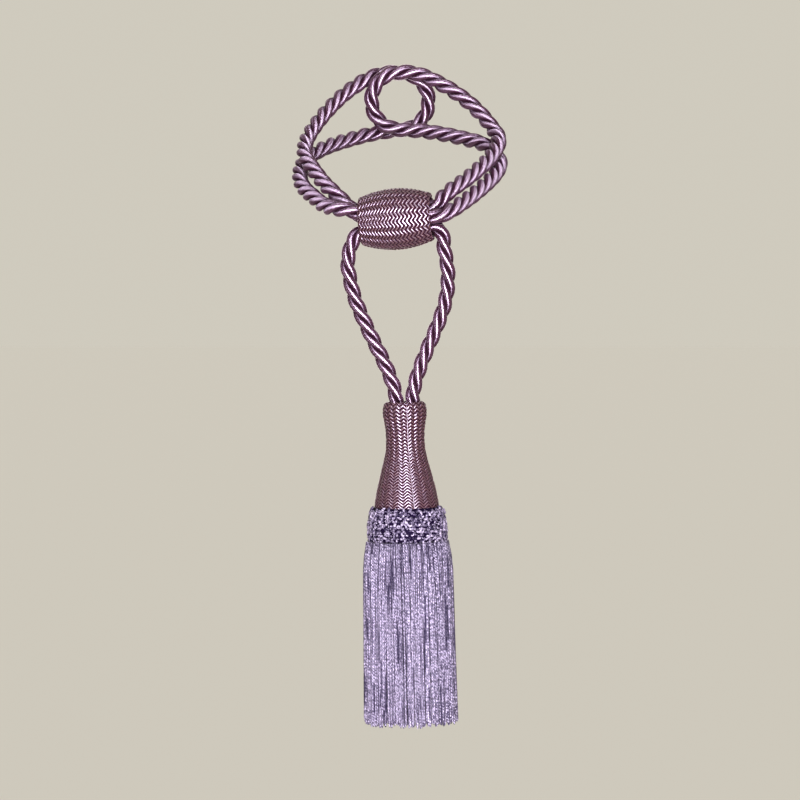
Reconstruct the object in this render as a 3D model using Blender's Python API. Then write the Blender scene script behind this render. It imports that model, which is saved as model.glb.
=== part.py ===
"""Curtain tieback: a twisted satin rope, a braid-covered slider and a fringed tassel.

Sizes are in millimetres and MM turns them to metres. The origin is on the axis of the wall hook,
midway between the two bights of rope that hang on it. +X is to the right, +Y towards the wall, +Z up.
"""

import math
import random

import bmesh
import bpy
import numpy as np
from mathutils import Matrix, Vector

MM = 0.001
GAP = 0.3  # clearance between neighbouring pieces

# Slider: a barrel on the three passes of the rope, its axis nearly level.
SLIDER_CENTRE = (-2.5, -140.0, -83.5)
SLIDER_YAW = 7.0  # degrees, its right end turned forward
SLIDER_TILT = 3.9  # degrees, its right end raised
SLIDER_LENGTH = 47.6
SLIDER_RADIUS = 19.8
SLIDER_CROWN = 4.7  # fall of the radius from the middle to an end, before the end is rounded
SLIDER_EDGE = 2.0  # rounding at each end
BORE_RADIUS = 12.5
MOUTH_RADIUS = 13.6
MOUTH_DEPTH = 3.0

# The braid covering of slider and head runs in lengthwise columns, raised as ribs.
BRAID_COLUMNS = 18
BRAID_RELIEF = 0.35

# Rope: three strands laid in an S twist.
ROPE_DIAMETER = 10.4
ROPE_STRANDS = 3
ROPE_LAY = 34.0  # length of one full turn
ROPE_VALLEY = 3.7  # radius between two strands
ROPE_CREST_HALF_ANGLE = 19.0  # degrees, half the width of a strand's crest
STEPS_PER_LAY = 9
PASS_RADIUS = 6.6  # of the circle on which the three passes lie in the bore
PASS_FLARE = 0.6  # by which that circle widens at the mouths

# Free runs of the rope. Columns: x, y, z in millimetres from the hook.
LEFT_LEG = (  # from the head up to the slider
    (-2.4, -140.0, -211.2),
    (-2.5, -140.0, -203.7),
    (-3.9, -140.0, -196.0),
    (-6.8, -140.0, -187.4),
    (-11.6, -140.0, -176.4),
    (-17.9, -140.0, -163.8),
    (-23.8, -139.5, -151.2),
    (-29.4, -139.0, -137.9),
    (-33.3, -138.0, -123.3),
    (-34.8, -137.3, -112.4),
    (-34.2, -136.9, -107.4),
    (-33.1, -136.7, -102.9),
    (-31.9, -136.6, -99.2),
    (-30.1, -136.6, -95.9),
    (-27.6, -136.8, -93.5),
)
RIGHT_BIGHT = (  # from the slider's front, round the hook and back to its rear
    (23.8, -149.6, -81.9),
    (27.6, -148.2, -80.9),
    (33.6, -142.8, -78.0),
    (40.9, -132.8, -73.1),
    (47.9, -121.0, -68.1),
    (55.1, -108.0, -62.2),
    (61.7, -94.5, -56.1),
    (66.5, -80.5, -49.9),
    (68.1, -67.0, -44.1),
    (65.0, -54.0, -38.2),
    (57.8, -41.5, -31.5),
    (45.8, -29.5, -27.5),
    (29.0, -17.0, -23.5),
    (13.0, -8.0, -21.0),
    (0.0, -5.6, -20.0),
    (-10.0, -5.6, -17.4),
    (-17.4, -5.6, -10.0),
    (-20.0, -5.6, 0.0),
    (-17.4, -5.6, 10.0),
    (-10.0, -5.6, 17.4),
    (0.0, -5.6, 20.0),
    (13.0, -7.5, 18.4),
    (29.0, -16.0, 11.0),
    (45.8, -27.5, -0.5),
    (57.4, -38.0, -12.0),
    (64.4, -48.0, -21.5),
    (67.2, -57.0, -26.3),
    (67.1, -68.0, -31.9),
    (63.6, -80.3, -38.5),
    (59.5, -90.4, -43.4),
    (54.3, -100.8, -48.4),
    (48.5, -109.8, -53.4),
    (42.1, -118.8, -58.3),
    (35.1, -127.8, -63.3),
    (29.1, -134.6, -68.6),
    (24.9, -138.0, -73.6),
)
LEFT_BIGHT = (  # from the slider's front, round the hook and back to its rear
    (-29.4, -141.8, -78.9),
    (-33.2, -141.2, -77.8),
    (-37.8, -139.6, -77.1),
    (-43.9, -135.0, -76.1),
    (-48.8, -127.9, -74.9),
    (-53.3, -119.4, -72.5),
    (-57.6, -110.2, -68.7),
    (-61.6, -101.0, -65.6),
    (-65.2, -91.0, -61.8),
    (-67.6, -81.0, -57.0),
    (-68.2, -69.0, -51.2),
    (-66.6, -57.0, -45.4),
    (-61.6, -44.5, -39.4),
    (-51.0, -29.0, -33.0),
    (-36.0, -10.4, -27.4),
    (-20.5, 2.2, -23.0),
    (-9.0, 5.6, -21.0),
    (0.0, 5.6, -20.0),
    (10.0, 5.6, -17.4),
    (17.4, 5.6, -10.0),
    (20.0, 5.6, 0.0),
    (17.4, 5.6, 10.0),
    (10.0, 5.6, 17.4),
    (0.0, 5.6, 20.0),
    (-10.0, 5.6, 19.8),
    (-21.0, 3.6, 16.6),
    (-37.0, -8.6, 6.0),
    (-51.0, -25.6, -8.2),
    (-60.0, -41.0, -20.6),
    (-64.0, -52.0, -28.4),
    (-65.2, -62.0, -33.8),
    (-65.0, -72.0, -38.8),
    (-62.6, -82.0, -44.0),
    (-58.8, -93.0, -49.4),
    (-54.6, -102.2, -54.9),
    (-50.2, -111.0, -60.2),
    (-45.0, -119.2, -65.0),
    (-39.5, -124.4, -70.2),
    (-33.7, -128.6, -75.6),
    (-29.6, -130.2, -78.9),
)
RIGHT_LEG = (  # from the slider down to the head
    (25.0, -140.2, -89.6),
    (27.9, -141.0, -93.4),
    (28.7, -141.6, -97.8),
    (29.3, -142.0, -102.7),
    (30.2, -142.2, -107.9),
    (31.3, -142.0, -113.6),
    (31.8, -141.6, -119.8),
    (31.5, -141.0, -129.9),
    (28.9, -140.5, -142.5),
    (24.3, -140.0, -155.2),
    (18.9, -140.0, -167.8),
    (13.6, -140.0, -181.1),
    (10.2, -140.0, -191.7),
    (8.7, -140.0, -199.7),
    (8.4, -140.0, -205.0),
    (8.5, -140.0, -211.2),
)

# Tassel: its pieces are turned on one axis, whose heights count down from the head's top.
TASSEL_TOP = (3.0, -140.0, -204.8)
TASSEL_LEAN = 1.2  # degrees, its foot to the right
POCKET_RADIUS = 11.4  # of the hole in the head that takes both ends of the rope
POCKET_DEPTH = 7.0
HEAD_OUTLINE = (  # radius, height
    (12.3, -0.2),
    (13.3, -2.4),
    (14.0, -5.6),
    (14.1, -8.6),
    (13.4, -12.2),
    (12.5, -18.4),
    (12.2, -25.0),
    (12.6, -32.0),
    (14.0, -38.6),
    (15.8, -45.2),
    (17.5, -51.9),
    (19.1, -58.5),
    (20.4, -65.0),
    (20.9, -69.4),
)
HEAD_FOOT_RADIUS = 19.6
HEAD_FOOT_HEIGHT = -92.0
SPIGOT_RADIUS = 13.8
SPIGOT_HEIGHT = -95.6

COLLAR_KNOTS = 32  # in a row round the collar, each second row offset
COLLAR_RELIEF = 0.55
COLLAR_OUTLINE = (  # radius, height: one row of knots to each height
    (22.9, -70.2),
    (24.7, -73.4),
    (25.3, -76.6),
    (25.7, -79.8),
    (26.0, -83.0),
    (26.3, -86.2),
    (26.4, -89.4),
    (26.0, -92.0),
)

SKIRT_LOCKS = 54  # round the skirt, in three rings
LOCK_GAP = 0.5
HEADING_RADII = (14.1, 18.0, 22.2, 26.5)  # inner edge, the divisions of the three rings, outer edge
HEADING_TOP = -92.3
HEADING_BOTTOM = -95.0
SKIRT_LENGTH = 213.0
SKIRT_UNEVEN = 2.2  # most that a lock ends above or below the rest
SKIRT_SWAY = 0.15  # most that a lock's end strays sideways
SKIRT_FLARE = (  # height, spread from the heading's radius
    (-101.0, 1.055),
    (-130.0, 1.105),
    (-SKIRT_LENGTH, 1.175),
)


def linear(hex_colour):
    """Linear RGBA of an sRGB hex colour."""
    parts = [int(hex_colour[i : i + 2], 16) / 255 for i in (0, 2, 4)]
    return [c / 12.92 if c <= 0.04045 else ((c + 0.055) / 1.055) ** 2.4 for c in parts] + [1.0]


def make_material(name, hex_colour, roughness):
    material = bpy.data.materials.new(name)
    material.use_nodes = True
    shader = material.node_tree.nodes["Principled BSDF"]
    shader.inputs["Base Color"].default_value = linear(hex_colour)
    shader.inputs["Roughness"].default_value = roughness
    shader.inputs["Metallic"].default_value = 0.0
    return material


def clear_scene():
    for obj in list(bpy.data.objects):
        bpy.data.objects.remove(obj)


def new_collection(name):
    collection = bpy.data.collections.new(name)
    bpy.context.scene.collection.children.link(collection)
    return collection


def add_mesh(name, bm, material, collection, parent):
    """A node from the bmesh, in millimetres, placed by its parent."""
    bmesh.ops.recalc_face_normals(bm, faces=bm.faces)
    bmesh.ops.scale(bm, vec=(MM, MM, MM), verts=bm.verts)
    mesh = bpy.data.meshes.new(name)
    bm.to_mesh(mesh)
    bm.free()
    mesh.shade_smooth()
    mesh.set_sharp_from_angle(angle=math.radians(50))
    mesh.materials.append(material)
    obj = bpy.data.objects.new(name, mesh)
    obj.parent = parent
    collection.objects.link(obj)
    return obj


def add_axis(name, matrix, collection):
    """An empty that places the pieces turned on it."""
    empty = bpy.data.objects.new(name, None)
    empty.matrix_world = matrix
    collection.objects.link(empty)
    return empty


def slider_matrix():
    turn = Matrix.Rotation(math.radians(-SLIDER_YAW), 4, "Z")
    tilt = Matrix.Rotation(math.radians(-SLIDER_TILT), 4, "Y")
    return Matrix.Translation(Vector(SLIDER_CENTRE)) @ turn @ tilt


def tassel_matrix():
    return Matrix.Translation(Vector(TASSEL_TOP)) @ Matrix.Rotation(math.radians(-TASSEL_LEAN), 4, "Y")


def in_metres(matrix):
    scaled = matrix.copy()
    scaled.translation *= MM
    return scaled


def turned(outline, steps, relief):
    """A bmesh turned about Z from (radius, height, ribbed) points.

    An outline that starts and ends on the axis makes a solid, and any other is closed to a ring.
    relief gives the outward shift of a ribbed point from its angle and its place in the outline.
    """
    bm = bmesh.new()
    place = bm.verts.layers.int.new("place")
    verts = []
    for index, (radius, height, ribbed) in enumerate(outline):
        vert = bm.verts.new((radius, 0, height))
        vert[place] = index + 1 if ribbed else 0
        verts.append(vert)
    edges = [bm.edges.new(pair) for pair in zip(verts, verts[1:])]
    if outline[0][0] > 0:
        edges.append(bm.edges.new((verts[-1], verts[0])))
    bmesh.ops.spin(
        bm,
        geom=verts + edges,
        axis=(0, 0, 1),
        cent=(0, 0, 0),
        angle=math.tau,
        steps=steps,
        use_merge=True,
    )
    bmesh.ops.remove_doubles(bm, verts=bm.verts, dist=1e-4)
    for vert in bm.verts:
        if vert[place]:
            radius = math.hypot(vert.co.x, vert.co.y)
            shift = relief(math.atan2(vert.co.y, vert.co.x), vert[place])
            vert.co.x *= 1 + shift / radius
            vert.co.y *= 1 + shift / radius
    return bm


def braid_ribs(angle, _place):
    return BRAID_RELIEF * math.cos(BRAID_COLUMNS * angle)


def knot_rows(angle, place):
    return COLLAR_RELIEF * math.cos(COLLAR_KNOTS * angle + math.pi * place)


def slider_outline():
    """Crowned outside from end to end, then back through the bore with its flared mouths."""
    half = SLIDER_LENGTH / 2
    outside = []
    rounding = 3
    for along in np.linspace(-half + SLIDER_EDGE, half - SLIDER_EDGE, 13):
        outside.append((SLIDER_RADIUS - SLIDER_CROWN * (along / half) ** 2, along, True))
    shoulder = outside[-1][0]
    for step in range(1, rounding + 1):
        angle = math.radians(90 * step / rounding)
        radius = shoulder - SLIDER_EDGE * (1 - math.cos(angle)) * 0.75
        along = half - SLIDER_EDGE * (1 - math.sin(angle))
        outside.append((radius, along, True))
        outside.insert(0, (radius, -along, True))
    flare = [
        (MOUTH_RADIUS, half, False),
        (BORE_RADIUS + 0.4, half - MOUTH_DEPTH / 2, False),
        (BORE_RADIUS, half - MOUTH_DEPTH, False),
    ]
    other = [(radius, -along, False) for radius, along, _ in reversed(flare)]
    return outside + flare + other


def build_slider(collection, material):
    axis = add_axis("slider_axis", in_metres(slider_matrix()), collection)
    bm = turned(slider_outline(), 2 * BRAID_COLUMNS, braid_ribs)
    bmesh.ops.rotate(bm, cent=(0, 0, 0), matrix=Matrix.Rotation(math.pi / 2, 3, "Y"), verts=bm.verts)
    add_mesh("slider", bm, material, collection, axis)


def bore_pass(left_angle, right_angle, rightward):
    """Places of one pass of the rope through the slider's bore, its angles counted from the top forward."""
    reach = SLIDER_LENGTH / 2 - 1.0
    places = []
    for share in np.linspace(0, 1, 7):
        eased = share * share * (3 - 2 * share)
        angle = math.radians(left_angle + (right_angle - left_angle) * eased)
        radius = PASS_RADIUS + PASS_FLARE * (2 * share - 1) ** 6
        along = reach * (2 * share - 1)
        local = Vector((along, -radius * math.sin(angle), radius * math.cos(angle)))
        places.append(tuple(slider_matrix() @ local))
    return places if rightward else places[::-1]


def mixed(t, low, high, start, end):
    return ((high - t) * start + (t - low) * end) / (high - low)


def smooth_route(knots, step):
    """Evenly spaced points along a centripetal Catmull-Rom curve through the knots."""
    knots = [np.array(knot, float) for knot in knots]
    knots = [2 * knots[0] - knots[1], *knots, 2 * knots[-1] - knots[-2]]
    fine = []
    for group in zip(knots, knots[1:], knots[2:], knots[3:]):
        times = [0.0]
        for near, far in zip(group, group[1:]):
            times.append(times[-1] + math.sqrt(np.linalg.norm(far - near)))
        for t in np.linspace(times[1], times[2], 16, endpoint=False):
            first = [mixed(t, times[i], times[i + 1], group[i], group[i + 1]) for i in range(3)]
            second = [mixed(t, times[i], times[i + 2], first[i], first[i + 1]) for i in range(2)]
            fine.append(mixed(t, times[1], times[2], *second))
    fine = np.array([*fine, knots[-2]])
    lengths = np.concatenate([[0], np.cumsum(np.linalg.norm(np.diff(fine, axis=0), axis=1))])
    even = np.linspace(0, lengths[-1], round(lengths[-1] / step) + 1)
    return np.column_stack([np.interp(even, lengths, fine[:, axis]) for axis in range(3)])


def rope_route():
    """The whole rope, from its left end in the head to its right end there."""
    knots = [
        *LEFT_LEG,
        *bore_pass(180.0, 90.0, True),
        *RIGHT_BIGHT,
        *bore_pass(48.0, -30.0, False),
        *LEFT_BIGHT,
        *bore_pass(-65.0, -150.0, True),
        *RIGHT_LEG,
    ]
    return smooth_route(knots, ROPE_LAY / STEPS_PER_LAY)


def poly_curve(name, points, cyclic, collection):
    data = bpy.data.curves.new(name, "CURVE")
    data.dimensions = "3D"
    spline = data.splines.new("POLY")
    spline.points.add(len(points) - 1)
    for target, point in zip(spline.points, points):
        target.co = (*(Vector(point) * MM), 1.0)
    spline.use_cyclic_u = cyclic
    obj = bpy.data.objects.new(name, data)
    collection.objects.link(obj)
    return obj


def rope_section():
    """Section of three strands: two crest points and one valley point for each."""
    crest = math.radians(ROPE_CREST_HALF_ANGLE)
    points = []
    for strand in range(ROPE_STRANDS):
        middle = math.tau * strand / ROPE_STRANDS
        for angle, radius in (
            (middle - crest, ROPE_DIAMETER / 2),
            (middle + crest, ROPE_DIAMETER / 2),
            (middle + math.pi / ROPE_STRANDS, ROPE_VALLEY),
        ):
            points.append((radius * math.cos(angle), radius * math.sin(angle), 0))
    return points[::-1]


def build_rope(collection, guides, material):
    section = poly_curve("rope_section", rope_section(), True, guides)
    section.data.dimensions = "2D"
    section.hide_render = True
    rope = poly_curve("rope", rope_route(), False, collection)
    rope.data.bevel_mode = "OBJECT"
    rope.data.bevel_object = section
    rope.data.use_fill_caps = True
    rope.data.twist_mode = "MINIMUM"
    for index, point in enumerate(rope.data.splines[0].points):
        point.tilt = -math.tau * index / STEPS_PER_LAY
    rope.data.materials.append(material)


def build_head(collection, material, axis):
    outline = [
        (0.0, -POCKET_DEPTH, False),
        (POCKET_RADIUS, -POCKET_DEPTH, False),
        (POCKET_RADIUS, -0.4, False),
        *[(radius, height, True) for radius, height in HEAD_OUTLINE],
        (HEAD_FOOT_RADIUS, HEAD_OUTLINE[-1][1] - GAP, False),
        (HEAD_FOOT_RADIUS, HEAD_FOOT_HEIGHT, False),
        (SPIGOT_RADIUS, HEAD_FOOT_HEIGHT, False),
        (SPIGOT_RADIUS, SPIGOT_HEIGHT, False),
        (0.0, SPIGOT_HEIGHT, False),
    ]
    add_mesh("tassel_head", turned(outline, 2 * BRAID_COLUMNS, braid_ribs), material, collection, axis)


def build_collar(collection, material, axis):
    inner = HEAD_FOOT_RADIUS + GAP
    outline = [
        (inner, COLLAR_OUTLINE[0][1], False),
        *[(radius, height, True) for radius, height in COLLAR_OUTLINE],
        (inner, COLLAR_OUTLINE[-1][1], False),
    ]
    add_mesh("collar", turned(outline, 2 * COLLAR_KNOTS, knot_rows), material, collection, axis)


def build_skirt(collection, material, axis):
    """A heading ring whose under faces are drawn down into three rings of separate locks."""
    top = [(radius, HEADING_TOP, False) for radius in (HEADING_RADII[0], HEADING_RADII[-1])]
    bottom = [(radius, HEADING_BOTTOM, False) for radius in reversed(HEADING_RADII)]
    bm = turned(top + bottom, SKIRT_LOCKS, None)
    bmesh.ops.recalc_face_normals(bm, faces=bm.faces)
    roots = [face for face in bm.faces if face.normal.z < -0.9]
    bmesh.ops.inset_individual(bm, faces=roots, thickness=LOCK_GAP / 2, use_even_offset=True)
    draw = random.Random(4)
    outer_ring = (HEADING_RADII[2] + HEADING_RADII[3]) / 2 - 1
    for root in roots:
        middle = root.calc_center_median()
        outer = math.hypot(middle.x, middle.y) > outer_ring
        sway = draw.uniform(-SKIRT_SWAY, SKIRT_SWAY)
        uneven = draw.uniform(-SKIRT_UNEVEN, SKIRT_UNEVEN)
        spread_so_far = 1.0
        for height, spread in SKIRT_FLARE if outer else SKIRT_FLARE[-1:]:
            root = bmesh.ops.extrude_discrete_faces(bm, faces=[root])["faces"][0]
            last = height == SKIRT_FLARE[-1][0]
            side = Vector((-middle.y, middle.x, 0)).normalized() * (sway if last else 0)
            for vert in root.verts:
                vert.co.x *= spread / spread_so_far
                vert.co.y *= spread / spread_so_far
                vert.co.z = height + (uneven if last else 0)
                vert.co += side
            spread_so_far = spread
    add_mesh("skirt", bm, material, collection, axis)


def main():
    clear_scene()
    parts = new_collection("curtain_tieback_tassel")
    guides = new_collection("guides")
    satin_braid = make_material("satin_braid", "7D6270", 0.45)
    satin_rope = make_material("satin_rope", "6F5568", 0.4)
    knotted_trim = make_material("knotted_trim", "8C7C98", 0.6)
    fringe_yarn = make_material("fringe_yarn", "A797BC", 0.6)
    build_slider(parts, satin_braid)
    build_rope(parts, guides, satin_rope)
    tassel_axis = add_axis("tassel_axis", in_metres(tassel_matrix()), parts)
    build_head(parts, satin_braid, tassel_axis)
    build_collar(parts, knotted_trim, tassel_axis)
    build_skirt(parts, fringe_yarn, tassel_axis)


main()
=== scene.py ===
"""Curtain tieback: a twisted satin rope, a braid-covered slider and a fringed tassel.

Everything is in metres. The origin is on the axis of the wall hook, midway between the two bights of
rope that hang on it. +X is to the right, +Y towards the wall and +Z up.
"""

import math
import random

import bmesh
import bpy
import numpy as np
from mathutils import Matrix, Vector


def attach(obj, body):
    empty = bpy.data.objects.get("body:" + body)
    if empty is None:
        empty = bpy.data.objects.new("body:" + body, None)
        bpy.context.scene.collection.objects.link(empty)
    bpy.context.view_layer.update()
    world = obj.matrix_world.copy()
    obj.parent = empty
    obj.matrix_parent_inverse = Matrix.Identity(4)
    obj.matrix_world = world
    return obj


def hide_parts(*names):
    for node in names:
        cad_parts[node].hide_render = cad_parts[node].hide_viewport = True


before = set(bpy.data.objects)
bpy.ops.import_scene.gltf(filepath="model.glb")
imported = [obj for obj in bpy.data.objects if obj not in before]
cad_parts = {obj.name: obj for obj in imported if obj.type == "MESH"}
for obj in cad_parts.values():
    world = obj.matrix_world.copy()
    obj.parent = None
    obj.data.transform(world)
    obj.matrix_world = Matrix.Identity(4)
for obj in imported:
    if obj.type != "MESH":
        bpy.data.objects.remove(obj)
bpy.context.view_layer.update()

MM = 0.001

# Slider
SLIDER_CENTRE = (-0.0025, -0.1400, -0.0835)
SLIDER_YAW = math.radians(7.0)  # its right end turned forward
SLIDER_TILT = math.radians(3.9)  # its right end raised
SLIDER_LENGTH = 47.6 * MM
SLIDER_RADIUS = 19.8 * MM
SLIDER_CROWN = 4.7 * MM  # fall of the radius from the middle to an end
SLIDER_EDGE = 2.0 * MM  # rounding at each end
BORE_RADIUS = 12.5 * MM
MOUTH_RADIUS = 13.6 * MM
MOUTH_DEPTH = 3.0 * MM

# Rope: three strands in an S twist.
ROPE_LENGTH = 1.3769
ROPE_LAY = 34.0 * MM  # length of one full turn
ROPE_STRANDS = 3
STRAND_CENTRE = 2.75 * MM  # from the rope's axis
STRAND_OUTWARD = 2.45 * MM  # half its thickness, square to the rope's axis
STRAND_ACROSS = 2.75 * MM  # half its width
STRAND_STEP = 1.5 * MM  # length of one face
YARNS_ROUND_STRAND = 14
YARN_GROOVE = 0.04 * MM
LOOSE_FULLNESS = 0.06  # by which the rope is thicker where nothing stretches it
LOOSE_FROM = 26.0 * MM  # from the slider's middle: there the rope starts to lie loose
LOOSE_WITHIN = 12.0 * MM  # length that this takes
LEGS_HEIGHT = -0.105  # below it the weight of the tassel stretches the legs
LEGS_WITHIN = 15.0 * MM
PASS_RADIUS = 6.6 * MM  # of the circle on which the three passes lie in the bore
PASS_FLARE = 0.6 * MM  # by which that circle widens at the mouths
PASS_POINTS = 7

# Free runs of the rope: x, y, z.
LEFT_LEG = (  # from the head up to the slider
    (-0.0024, -0.1400, -0.2112),
    (-0.0025, -0.1400, -0.2037),
    (-0.0039, -0.1400, -0.1960),
    (-0.0068, -0.1400, -0.1874),
    (-0.0116, -0.1400, -0.1764),
    (-0.0179, -0.1400, -0.1638),
    (-0.0238, -0.1395, -0.1512),
    (-0.0294, -0.1390, -0.1379),
    (-0.0333, -0.1380, -0.1233),
    (-0.0348, -0.1373, -0.1124),
    (-0.0342, -0.1369, -0.1074),
    (-0.0331, -0.1367, -0.1029),
    (-0.0319, -0.1366, -0.0992),
    (-0.0301, -0.1366, -0.0959),
    (-0.0276, -0.1368, -0.0935),
)
RIGHT_BIGHT = (  # from the slider's front, round the hook and back to its rear
    (0.0238, -0.1496, -0.0819),
    (0.0276, -0.1482, -0.0809),
    (0.0336, -0.1428, -0.0780),
    (0.0409, -0.1328, -0.0731),
    (0.0479, -0.1210, -0.0681),
    (0.0551, -0.1080, -0.0622),
    (0.0617, -0.0945, -0.0561),
    (0.0665, -0.0805, -0.0499),
    (0.0681, -0.0670, -0.0441),
    (0.0650, -0.0540, -0.0382),
    (0.0578, -0.0415, -0.0315),
    (0.0458, -0.0295, -0.0275),
    (0.0290, -0.0170, -0.0235),
    (0.0130, -0.0080, -0.0210),
    (0.0000, -0.0056, -0.0200),
    (-0.0100, -0.0056, -0.0174),
    (-0.0174, -0.0056, -0.0100),
    (-0.0200, -0.0056, 0.0000),
    (-0.0174, -0.0056, 0.0100),
    (-0.0100, -0.0056, 0.0174),
    (0.0000, -0.0056, 0.0200),
    (0.0130, -0.0075, 0.0184),
    (0.0290, -0.0160, 0.0110),
    (0.0458, -0.0275, -0.0005),
    (0.0574, -0.0380, -0.0120),
    (0.0644, -0.0480, -0.0215),
    (0.0672, -0.0570, -0.0263),
    (0.0671, -0.0680, -0.0319),
    (0.0636, -0.0803, -0.0385),
    (0.0595, -0.0904, -0.0434),
    (0.0543, -0.1008, -0.0484),
    (0.0485, -0.1098, -0.0534),
    (0.0421, -0.1188, -0.0583),
    (0.0351, -0.1278, -0.0633),
    (0.0291, -0.1346, -0.0686),
    (0.0249, -0.1380, -0.0736),
)
LEFT_BIGHT = (  # from the slider's front, round the hook and back to its rear
    (-0.0294, -0.1418, -0.0789),
    (-0.0332, -0.1412, -0.0778),
    (-0.0378, -0.1396, -0.0771),
    (-0.0439, -0.1350, -0.0761),
    (-0.0488, -0.1279, -0.0749),
    (-0.0533, -0.1194, -0.0725),
    (-0.0576, -0.1102, -0.0687),
    (-0.0616, -0.1010, -0.0656),
    (-0.0652, -0.0910, -0.0618),
    (-0.0676, -0.0810, -0.0570),
    (-0.0682, -0.0690, -0.0512),
    (-0.0666, -0.0570, -0.0454),
    (-0.0616, -0.0445, -0.0394),
    (-0.0510, -0.0290, -0.0330),
    (-0.0360, -0.0104, -0.0274),
    (-0.0205, 0.0022, -0.0230),
    (-0.0090, 0.0056, -0.0210),
    (0.0000, 0.0056, -0.0200),
    (0.0100, 0.0056, -0.0174),
    (0.0174, 0.0056, -0.0100),
    (0.0200, 0.0056, 0.0000),
    (0.0174, 0.0056, 0.0100),
    (0.0100, 0.0056, 0.0174),
    (0.0000, 0.0056, 0.0200),
    (-0.0100, 0.0056, 0.0198),
    (-0.0210, 0.0036, 0.0166),
    (-0.0370, -0.0086, 0.0060),
    (-0.0510, -0.0256, -0.0082),
    (-0.0600, -0.0410, -0.0206),
    (-0.0640, -0.0520, -0.0284),
    (-0.0652, -0.0620, -0.0338),
    (-0.0650, -0.0720, -0.0388),
    (-0.0626, -0.0820, -0.0440),
    (-0.0588, -0.0930, -0.0494),
    (-0.0546, -0.1022, -0.0549),
    (-0.0502, -0.1110, -0.0602),
    (-0.0450, -0.1192, -0.0650),
    (-0.0395, -0.1244, -0.0702),
    (-0.0337, -0.1286, -0.0756),
    (-0.0296, -0.1302, -0.0789),
)
RIGHT_LEG = (  # from the slider down to the head
    (0.0250, -0.1402, -0.0896),
    (0.0279, -0.1410, -0.0934),
    (0.0287, -0.1416, -0.0978),
    (0.0293, -0.1420, -0.1027),
    (0.0302, -0.1422, -0.1079),
    (0.0313, -0.1420, -0.1136),
    (0.0318, -0.1416, -0.1198),
    (0.0315, -0.1410, -0.1299),
    (0.0289, -0.1405, -0.1425),
    (0.0243, -0.1400, -0.1552),
    (0.0189, -0.1400, -0.1678),
    (0.0136, -0.1400, -0.1811),
    (0.0102, -0.1400, -0.1917),
    (0.0087, -0.1400, -0.1997),
    (0.0084, -0.1400, -0.2050),
    (0.0085, -0.1400, -0.2112),
)

# Tassel: its pieces are turned on one axis, whose heights count down from the head's top.
TASSEL_TOP = (0.0030, -0.1400, -0.2048)
TASSEL_LEAN = math.radians(1.2)  # its foot to the right
HEAD_OUTLINE = (  # radius, height, in millimetres, from the foot up to the rim and into the pocket
    (0.0, -95.6),
    (13.8, -95.6),
    (13.8, -92.0),
    (19.6, -92.0),
    (19.8, -74.0),
    (20.9, -69.4),
    (20.4, -65.0),
    (19.1, -58.5),
    (17.5, -51.9),
    (15.8, -45.2),
    (14.0, -38.6),
    (12.6, -32.0),
    (12.2, -25.0),
    (12.5, -18.4),
    (13.4, -12.2),
    (14.1, -8.6),
    (14.1, -5.6),
    (13.6, -2.6),
    (12.8, -0.9),
    (11.9, -0.5),
    (11.4, -1.4),
    (11.4, -7.0),
    (0.0, -7.0),
)
COLLAR_OUTLINE = (  # radius, height of the trim's outer face, in millimetres
    (22.9, -70.2),
    (24.7, -73.4),
    (25.3, -76.6),
    (25.7, -79.8),
    (26.0, -83.0),
    (26.3, -86.2),
    (26.4, -89.4),
    (26.0, -92.0),
)
COLLAR_INSIDE = 20.4 * MM
BAND_DEPTH = 0.9  # of the band's face under the knots' outer face, in millimetres
BAND_STEPS = 96
KNOT_ROWS = 10
KNOTS_IN_ROW = 56
SKIRT_TOP = -92.6 * MM
SKIRT_FOOT = -213.0 * MM
SKIRT_UNEVEN = 2.0 * MM  # the most by which a thread is longer or shorter
SKIRT_GATHERS = (43, 29, 17, 7)  # waves round the skirt, in which its threads draw together
FRINGE_RINGS = (  # radius at the top and at the foot in millimetres, threads, thread radius
    (27.0, 30.5, 150, 0.62),
    (26.0, 29.6, 146, 0.62),
    (24.8, 27.6, 120, 0.68),
    (20.8, 23.6, 86, 0.8),
    (16.4, 18.6, 62, 0.9),
)

THREAD_SIDES = 5
THREAD_STEPS = 12
THREAD_TAPER = 0.45  # width of a thread's cut foot

# Braided covers: rings of satin yarn, which ribs from end to end draw into a herringbone.
SLIDER_RIBS = 20
SLIDER_CREST = math.radians(-92.9)  # angle of one rib
SLIDER_PITCHES = ((0, 2.1), (0.2, 2.2), (0.8, 2.9), (1, 2.9))  # share of the way, pitch in millimetres
HEAD_RIBS = 18
HEAD_CREST = math.radians(-86)
HEAD_DRIFT = math.radians(-9)  # by which the ribs turn from the foot to the rim
HEAD_PITCHES = ((0, 2.1), (0.4, 1.98), (0.65, 2.3), (0.8, 2.4), (1, 2.9))
STEPS_IN_RIB = 12
COVER_ENDS = 2.0 * MM  # length over which the relief dies away at each end
STROKE_NUDGE = 0.14 * MM  # the most by which a stroke lies out of its row
SEAM_RADIUS = 0.42 * MM  # of the cord that closes the head's cover
SEAM_LIFT = 0.5 * MM
SEAM_SIDES = 8
SEAM_STEPS = 72

# Section of one wound yarn: share of its pitch, share of its rise. The flat part is the gap.
YARN_SECTION = (
    (0.0, 0.0),
    (0.1, 0.02),
    (0.2, 0.6),
    (0.32, 0.92),
    (0.5, 1.0),
    (0.68, 0.92),
    (0.8, 0.6),
    (0.9, 0.02),
)

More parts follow.
